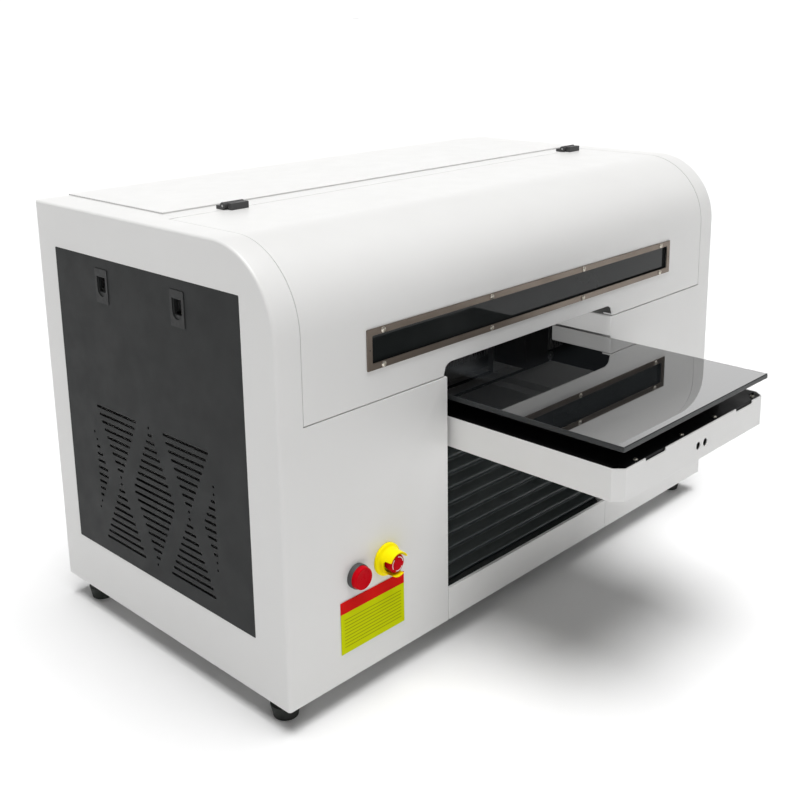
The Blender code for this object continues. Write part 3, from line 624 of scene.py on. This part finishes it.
LATCH_TRAVEL = 0.006
LATCH_HEIGHT = 0.034
LATCH_TONGUE = 0.0175           # how far the tongue behind the panel rises above the face
LATCH_FACE = {}
for side_name in ("left", "right"):
    for where in ("front", "rear"):
        latch_top = high(f"{side_name}_latch_{where}").z - LATCH_TONGUE
        LATCH_FACE[side_name, where] = (latch_top - LATCH_HEIGHT, latch_top)


def latch(side_name, where):
    """Finger latch: a thin plate over the panel's window, with a D-shaped dish and a dark finger hole."""
    node = f"{side_name}_latch_{where}"
    side = -1 if side_name == "left" else 1
    latch_low, latch_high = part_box(node)
    panel_face = LEFT if side < 0 else RIGHT
    face_low, face_high = LATCH_FACE[side_name, where]
    middle = (latch_low.y + latch_high.y) / 2
    ys = (latch_low.y, latch_high.y)
    lap, dish_radius, dish_depth = 0.001, 0.0088, 0.0005

    def depths(start, end):
        """Two distances out of the panel's face, as x places in rising order."""
        return sorted((panel_face + side * start, panel_face + side * end))

    face = rounded_box(ys, (face_low, face_high), 0.001, 4)
    item = new_item(node + "_finished", shape((prism, face, 0, *depths(-0.0002, -0.0040))))
    cover = rounded_box((ys[0] - lap, ys[1] + lap),
                        (face_low - LATCH_TRAVEL - lap, face_high + lap), 0.0012, 4)
    join(item, shape((prism, cover, 0, *depths(0.0001, 0.0009))))
    join(item, shape((prism, face, 0, *depths(0.0005, -0.0010))))
    join(item, shape((slab, depths(-0.0023, -0.0060), ys, (face_low + 0.010, latch_high.z))))
    dish = [(middle + dish_radius, face_high - 0.0085), (middle - dish_radius, face_high - 0.0085)]
    dish += arc((middle, face_low + 0.0100), dish_radius, math.pi, 2 * math.pi, 14)
    cut(item, shape((prism, dish, 0, *depths(OVER, -dish_depth))))
    hole = rounded_box((middle - 0.0070, middle + 0.0070),
                       (face_low + 0.0065, face_high - 0.0095), 0.001, 3)
    cut(item, shape((prism, hole, 0, *depths(OVER, -OVER))))
    clean(item)
    soften(item, 0.0003, 2)
    place(item, f"latch_{side_name}_{where}", "latch_plastic", node)


def hood_section(outside, inside, rear, low_edge):
    """Hood sheet seen from the side, between two depths under its outer face."""
    centre = (FRONT + CORNER, TOP - CORNER)
    points = [(rear, TOP - outside)]
    points += arc(centre, CORNER - outside, math.pi / 2, math.pi, ARC_STEPS)
    points += [(FRONT + outside, low_edge), (FRONT + inside, low_edge)]
    points += arc(centre, CORNER - inside, math.pi, math.pi / 2, ARC_STEPS)
    points += [(rear, TOP - inside)]
    return points


WINDOW_LOW, WINDOW_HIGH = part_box("window_frame")
FRAME_BAND = 0.0078             # width of the window frame all round


def slope_and_bend(foot, inward, run, bend, top):
    """End of the arch: a steep slope up from the hood's lower edge, easing into the level top."""
    points = [(foot, HOOD_LOW)]
    steps, spread = 6, 2.4
    for i in range(steps + 1):
        share = i / steps
        x = foot + inward * (run - bend + bend * spread * share)
        z = top - bend * (1 - share) ** 2
        points.append((x, z))
    return points


def hood():
    """Rolled hood with folded lips all round, the arch over the bed and the window cut-out."""
    lip = 0.015
    section = hood_section(0, lip, HOOD_REAR, HOOD_LOW)
    item = new_item("hood_finished", shape((prism, section, 0, *HOOD_X)))
    hollow = hood_section(SHEET, lip + 0.005, HOOD_REAR - SHEET, HOOD_LOW + SHEET)
    cut(item, shape((prism, hollow, 0, HOOD_X[0] + SHEET, HOOD_X[1] - SHEET)))
    arch_top = HOOD_LOW + 0.0155
    start, end = OPENING[0] - 0.007, OPENING[1] + 0.003
    below = HOOD_LOW - OVER
    run, bend = 0.0085, 0.0045
    arch = [(start, below), (end, below)]
    arch += slope_and_bend(end, -1, run, bend, arch_top)
    arch += list(reversed(slope_and_bend(start, 1, run, bend, arch_top)))
    cut(item, shape((prism, arch, 1, FRONT - OVER, FRONT + 0.02)))
    inner = FRAME_BAND - 0.003
    cut(item, shape((slab, (WINDOW_LOW.x + inner, WINDOW_HIGH.x - inner),
                     (FRONT - OVER, FRONT + OVER), (WINDOW_LOW.z + inner, WINDOW_HIGH.z - inner))))
    clean(item)
    soften(item, 0.0007, 3)
    place(item, "hood_assembly", "white_paint", "hood")


def pan_screws(name, body, places, axis, radius=0.0026, height=0.0014, looks="steel"):
    """Domed screw heads with a cross recess, as one piece."""
    axis = Vector(axis)
    side = axis.orthogonal().normalized()
    recess_floor = height * 0.45
    profile = [(-0.0008, radius * 0.9), (0.0002, radius), (height * 0.45, radius * 0.96),
               (height * 0.8, radius * 0.72), (height, radius * 0.35)]
    bm = bmesh.new()
    for spot in places:
        turned(bm, profile, spot, axis, 20)
    item = new_item(name, bm)
    other = axis.cross(side)
    long, narrow = radius * 0.55, radius * 0.13
    cross = ((long, narrow), (narrow, narrow), (narrow, long), (-narrow, long), (-narrow, narrow),
             (-long, narrow), (-long, -narrow), (-narrow, -narrow), (-narrow, -long), (narrow, -long),
             (narrow, -narrow), (long, -narrow))
    bm = bmesh.new()
    for spot in places:
        rings = []
        for depth in (recess_floor, height + 0.001):
            corners = [Vector(spot) + axis * depth + side * a + other * b for a, b in cross]
            rings.append([bm.verts.new(corner) for corner in corners])
        for i in range(len(cross)):
            j = (i + 1) % len(cross)
            bm.faces.new((rings[0][i], rings[0][j], rings[1][j], rings[1][i]))
        bm.faces.new(list(reversed(rings[0])))
        bm.faces.new(rings[1])
    bmesh.ops.recalc_face_normals(bm, faces=bm.faces)
    cut(item, bm)
    item.data.shade_smooth()
    item.data.set_sharp_from_angle(angle=math.radians(40))
    place(item, body, looks)


def window():
    """Bronze frame held by eight screws over a dark acrylic pane."""
    outline_x = (WINDOW_LOW.x, WINDOW_HIGH.x)
    outline_z = (WINDOW_LOW.z, WINDOW_HIGH.z)
    ys = (WINDOW_LOW.y, WINDOW_HIGH.y)
    item = new_item("window_frame_finished",
                    shape((prism, rounded_box(outline_x, outline_z, 0.0008, 3), 1, *ys)))
    inner_x = (outline_x[0] + FRAME_BAND, outline_x[1] - FRAME_BAND)
    inner_z = (outline_z[0] + FRAME_BAND, outline_z[1] - FRAME_BAND)
    inner = rounded_box(inner_x, inner_z, 0.0008, 3)
    cut(item, shape((prism, inner, 1, ys[0] - OVER, ys[1] + OVER)))
    soften(item, 0.0003, 2)
    place(item, "hood_assembly", "bronze", "window_frame")
    refine("window_pane", "hood_assembly")

    columns = (LEFT + 0.1511, LEFT + 0.3367, LEFT + 0.5275, LEFT + 0.7192)
    spots = []
    for z in (outline_z[0] + FRAME_BAND / 2, outline_z[1] - FRAME_BAND / 2):
        spots += [(x, ys[0], z) for x in columns]
    pan_screws("window_screws", "hood_assembly", spots, OUTWARD, 0.0035, 0.0016, "screw_steel")
    bm = bmesh.new()
    pin = [(-0.0005, 0.0009), (0.0002, 0.0008)]
    for x in (outline_x[0] + 0.004, outline_x[1] - 0.004):
        turned(bm, pin, (x, ys[0], (outline_z[0] + outline_z[1]) / 2), OUTWARD, 12)
    place(new_item("window_frame_pins", bm), "hood_assembly", "black_plastic")


def hinge(side_name):
    """Two-leaf moulded hinge with a bright pin."""
    refine(f"hinge_base_{side_name}", "casing", 0.0006, 3, "grey_plastic")
    refine(f"hinge_leaf_{side_name}", "hood_assembly", 0.0006, 3, "grey_plastic")
    base_low = low(f"hinge_base_{side_name}")
    axis_y, axis_z = frame_axis("hood_hinge")[1:]
    pin_end = [(-0.001, 0.0016), (0.0, 0.0016), (0.0003, 0.0012)]
    bm = shape((turned, pin_end, (base_low.x, axis_y, axis_z), (-1, 0, 0), 20))
    place(new_item(f"hinge_pin_{side_name}", bm), "casing", "steel")


def frame_axis(joint):
    for entry in frame["joints"]:
        if entry["name"] == joint:
            return entry["pos_m"]


# Controls on the front

def lit_button():
    """Red lens with a dished face, in a dark ring."""
    bezel_low, bezel_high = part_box("button_bezel")
    x, z = (bezel_low.x + bezel_high.x) / 2, (bezel_low.z + bezel_high.z) / 2
    seat = (x, bezel_high.y, z)
    ring = [(0.0, 0.0146), (0.0046, 0.0146), (0.0058, 0.0144), (0.0062, 0.0141)]
    item = new_item("button_bezel_finished", shape((turned, ring, seat, OUTWARD, 64)))
    cut(item, shape((turned, [(0.0020, 0.0138), (0.02, 0.0138)], seat, OUTWARD, 64)))
    soften(item, 0.0001, 2)
    place(item, "casing", "grey_plastic", "button_bezel")
    lens = [(0.0048, 0.0136), (0.0108, 0.0131), (0.0119, 0.0128), (0.0124, 0.0122),
            (0.0125, 0.0114), (0.0121, 0.0106), (0.0120, 0.0040)]
    item = new_item("button_cap_finished", shape((turned, lens, seat, OUTWARD, 64)))
    soften(item, 0.0002, 2)
    place(item, "start_button", "red_plastic", "button_cap")


def stop_button():
    """Mushroom head inside a yellow collar with a guard above and below it."""
    collar_low, collar_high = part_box("estop_collar")
    x, z = (collar_low.x + collar_high.x) / 2, (collar_low.z + collar_high.z) / 2
    back = collar_high.y
    seat = (x, back, z)
    wall = [(0.0, 0.0196), (0.0026, 0.0196), (0.0038, 0.0188), (0.0044, 0.0172),
            (0.0054, 0.0162), (0.0120, 0.0153), (0.0210, 0.0149)]
    item = new_item("estop_collar_finished", shape((turned, wall, seat, OUTWARD, 72)))
    bore = [(0.0025, 0.0128), (0.0110, 0.0130), (0.0300, 0.0137)]
    cut(item, shape((turned, bore, seat, OUTWARD, 72)))
    notch = rounded_box((back - 0.0400, back - 0.0095), (z - 0.0128, z + 0.0060), 0.0045)
    cut(item, shape((prism, notch, 0, x - 0.04, x + 0.04)))
    soften(item, 0.0003, 2)
    place(item, "casing", "yellow_plastic", "estop_collar")

    head = [(0.0070, 0.0100), (0.0100, 0.0102), (0.0150, 0.0110), (0.0168, 0.0111),
            (0.0180, 0.0104), (0.0186, 0.0090), (0.0187, 0.0030)]
    item = new_item("estop_head_finished", shape((turned, head, seat, OUTWARD, 64)))
    soften(item, 0.0002, 2)
    place(item, "stop_button", "red_plastic", "estop_head")
    bm = bmesh.new()
    for start in (0.02, 0.36, 0.69):
        turn, reach = start * 2 * math.pi, 0.22 * 2 * math.pi
        outline = arc((x, z), 0.0088, turn, turn + reach, 12)
        outline += arc((x, z), 0.0078, turn + reach, turn, 12)
        prism(bm, outline, 1, back - 0.01875, back - 0.0178)
    place(new_item("estop_marks", bm), "stop_button", "white_paint")


def notice():
    """Red and yellow plate with ruled lines and no characters."""
    refine("label_plate", "casing", 0.0002, 2, "notice")


# Bed

def tray():
    """Folded tray with finger notches, two holes and clipped corners."""
    tray_low, tray_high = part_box("tray")
    wall = 0.0018
    clip = 0.0115
    xs, near, far = (tray_low.x, tray_high.x), tray_low.y, tray_high.y

    def outline(inset):
        first, second = xs[0] + inset, xs[1] - inset
        start = near + inset
        bend = clip - inset * 0.6
        return [(first, far - inset), (first, start + bend), (first + bend * 0.9, start),
                (second - bend * 0.9, start), (second, start + bend), (second, far - inset)]

    item = new_item("tray_finished", shape((prism, outline(0), 2, tray_low.z, tray_high.z)))
    cut(item, shape((prism, outline(wall), 2, tray_low.z + wall, tray_high.z + OVER)))
    bm = bmesh.new()
    for centre in (-0.093, 0.108):
        width = (BED_X + centre - 0.0205, BED_X + centre + 0.0205)
        notch = rounded_box(width, (tray_high.z - 0.004, tray_high.z + OVER), 0.0015, 4)
        prism(bm, notch, 1, near - OVER, near + OVER)
    hole_z = tray_high.z - 0.0205
    for offset in (-0.0003, 0.0153):
        hole_x = BED_X + offset
        rod(bm, (hole_x, near - OVER, hole_z), (hole_x, near + OVER, hole_z), 0.0047)
    cut(item, bm)
    soften(item, 0.0007, 3)
    place(item, "bed", "white_paint", "tray")


def bed():
    """Deck with its screws, sub-frame, and the platen with its polished face."""
    refine("deck_plate", "bed")
    refine("bed_frame", "bed", 0.0012, 3)
    refine("glass_platen", "bed", 0.0008, 3, "glass_edge")
    glass_low, glass_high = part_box("glass_platen")
    inset, corner = 0.0012, 0.0010
    face = rounded_box((glass_low.x + inset, glass_high.x - inset),
                       (glass_low.y + inset, glass_high.y - inset), corner)
    depths = (glass_high.z - 0.0004, glass_high.z + 0.00005)
    polished = new_item("glass_face", shape((prism, face, 2, *depths)))
    soften(polished, 0.00003, 1)
    place(polished, "bed", "black_glass")
    deck_top = high("deck_plate").z
    near = low("tray").y
    columns = (LEFT + 0.3050, LEFT + 0.4003, LEFT + 0.4758, LEFT + 0.5697)
    spots = [(x, near + 0.0072, deck_top) for x in columns]
    pan_screws("deck_screws", "bed", spots, (0, 0, 1), 0.0030, 0.0020, "screw_steel")


def bellows():
    """Pleated cloth skirt: folds with eased corners and a slight unevenness along them."""
    node_low, node_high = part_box("bellows")
    thick = 0.0009
    near, far = node_low.y, node_high.y - thick
    middle, swing = (near + far) / 2, (far - near) / 2
    steps = 12                      # rows of points in one fold
    straight, eased = 0.8, 0.2      # shares of a sharp zigzag and of a round wave
    uneven = 0.0003
    height = node_high.z - node_low.z
    rows = int(height / PLEAT * steps)
    path = []
    for i in range(rows + 1):
        z = node_high.z - height * i / rows
        turn = (node_high.z - z) / PLEAT * 2 * math.pi
        fold = 1 - 2 * abs((turn / math.pi) % 2 - 1)
        path.append((middle - swing * (straight * fold - eased * math.cos(turn)), z))
    bm = bmesh.new()
    columns = 24
    xs = [node_low.x + (node_high.x - node_low.x) * i / columns for i in range(columns + 1)]
    grid = []
    for i, x in enumerate(xs):
        column = []
        for y, z in path:
            sway = uneven * math.sin(x * 61.0 + z * 23.0) * math.sin(z * 37.0 + x * 11.0)
            column.append(bm.verts.new((x, min(max(y + sway, near), far), z)))
        grid.append(column)
    for first, second in zip(grid, grid[1:]):
        for i in range(rows):
            bm.faces.new((first[i], first[i + 1], second[i + 1], second[i]))
    bmesh.ops.recalc_face_normals(bm, faces=bm.faces)
    item = new_item("bellows_finished", bm)
    item.data.shade_smooth()
    step = item.modifiers.new("cloth", "SOLIDIFY")
    step.thickness = thick
    step.offset = 1.0
    place(item, "casing", "cloth", "bellows")
    return item


# Everything put together

BODY_OF = {}
for body, parts in frame["record"]["behaviour"]["bodies"].items():
    for node in parts:
        BODY_OF[node] = body

side_casing("left_side_casing", -1)
side_casing("right_side_casing", 1)
service_panel("left_service_panel", -1)
service_panel("right_service_panel", 1)
for side_name in ("left", "right"):
    for where in ("front", "rear"):
        latch(side_name, where)
    hinge(side_name)
hood()
window()
lit_button()
stop_button()
notice()
tray()
bed()
skirt = bellows()
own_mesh(skirt)

DONE = set()
for piece in bpy.context.scene.objects:
    DONE.update(piece.get("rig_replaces", []))
for node in sorted(frame["nodes"]):
    if node not in DONE:
        refine(node, BODY_OF[node])


# Studio: pale floor, a dim sky with one bright side low down, and two soft suns.

SKY_DIM = 0.10
SKY_BRIGHT = 1.1
SKY_BRIGHT_SIDE = (0.70, 0.71, 0.0)
FLOOR_REACH = 60.0


def world_fade(nodes, links, value, source, target):
    """Smooth step from one brightness to another between two values."""
    step = nodes.new("ShaderNodeMapRange")
    step.interpolation_type = "SMOOTHSTEP"
    step.inputs["From Min"].default_value = source[0]
    step.inputs["From Max"].default_value = source[1]
    step.inputs["To Min"].default_value = target[0]
    step.inputs["To Max"].default_value = target[1]
    links.new(value, step.inputs["Value"])
    return step.outputs["Result"]


def floor():
    reach = (-FLOOR_REACH, FLOOR_REACH)
    item = new_item("studio_floor", shape((slab, reach, reach, (-0.02, 0.0))))
    item.data.materials.append(LOOKS["floor_paint"])


def sky():
    """White sky, brightest near the horizon on one side and dim everywhere else."""
    world = bpy.data.worlds.new("sky")
    world.use_nodes = True
    nodes, links = world.node_tree.nodes, world.node_tree.links
    split = nodes.new("ShaderNodeSeparateXYZ")
    texture = nodes.new("ShaderNodeTexCoord")
    links.new(texture.outputs["Generated"], split.inputs["Vector"])
    towards = nodes.new("ShaderNodeVectorMath")
    towards.operation = "DOT_PRODUCT"
    links.new(texture.outputs["Generated"], towards.inputs[0])
    towards.inputs[1].default_value = Vector(SKY_BRIGHT_SIDE).normalized()
    level = world_fade(nodes, links, split.outputs["Z"], (0.32, 0.46), (1.0, 0.0))
    behind = world_fade(nodes, links, towards.outputs["Value"], (0.25, 0.85), (0.0, 1.0))
    glow = nodes.new("ShaderNodeMath")
    glow.operation = "MULTIPLY"
    links.new(level, glow.inputs[0])
    links.new(behind, glow.inputs[1])
    strength = world_fade(nodes, links, glow.outputs["Value"], (0.0, 1.0), (SKY_DIM, SKY_BRIGHT))
    links.new(strength, nodes["Background"].inputs["Strength"])
    nodes["Background"].inputs["Color"].default_value = (1.0, 1.0, 1.0, 1.0)
    bpy.context.scene.world = world


def suns():
    for name, energy, spread, direction in (
        ("overhead", 3.55, 44, (-0.03, -0.10, 1.0)),
        ("fill", 0.24, 50, (-0.74, -0.58, 0.22)),
    ):
        light = bpy.data.lights.new(name, "SUN")
        light.energy = energy
        light.angle = math.radians(spread)
        item = bpy.data.objects.new(name, light)
        item.rotation_euler = Vector(direction).to_track_quat("Z", "Y").to_euler()
        bpy.context.scene.collection.objects.link(item)


def opening_light():
    """Weak light inside the opening, so that its far wall is seen."""
    light = bpy.data.lights.new("opening", "AREA")
    light.energy = 0.10
    light.spread = math.radians(100)
    light.shape = "RECTANGLE"
    light.size = 0.012
    light.size_y = 0.060
    item = bpy.data.objects.new("opening", light)
    item.location = (OPENING[0] + 0.06, FRONT + 0.045, HOOD_LOW - 0.010)
    item.rotation_euler = Vector((1, 0, 0)).to_track_quat("-Z", "Z").to_euler()
    item.visible_camera = False
    item.visible_glossy = False
    bpy.context.scene.collection.objects.link(item)


def camera():
    """Camera in front on the left, looking slightly down."""
    azimuth, elevation, roll = math.radians(-45.703), math.radians(13.877), math.radians(-0.839)
    place_of_lens = (-1.09621, -0.93572, 0.77096)
    back = Vector((math.sin(azimuth) * math.cos(elevation),
                   -math.cos(azimuth) * math.cos(elevation),
                   math.sin(elevation)))
    right = (-back).cross(Vector((0, 0, 1))).normalized()
    up = right.cross(-back)
    rolled_right = math.cos(roll) * right + math.sin(roll) * up
    rolled_up = -math.sin(roll) * right + math.cos(roll) * up
    turn = Matrix((rolled_right, rolled_up, back)).transposed().to_4x4()
    lens = bpy.data.cameras.new("camera")
    lens.lens = 49.691
    lens.sensor_width = 36.0
    lens.shift_y = -0.15
    lens.clip_start = 0.05
    lens.clip_end = 200.0
    item = bpy.data.objects.new("camera", lens)
    item.matrix_world = Matrix.Translation(place_of_lens) @ turn
    bpy.context.scene.collection.objects.link(item)
    bpy.context.scene.camera = item


floor()
sky()
suns()
opening_light()
camera()
bpy.context.scene.view_settings.view_transform = "Standard"
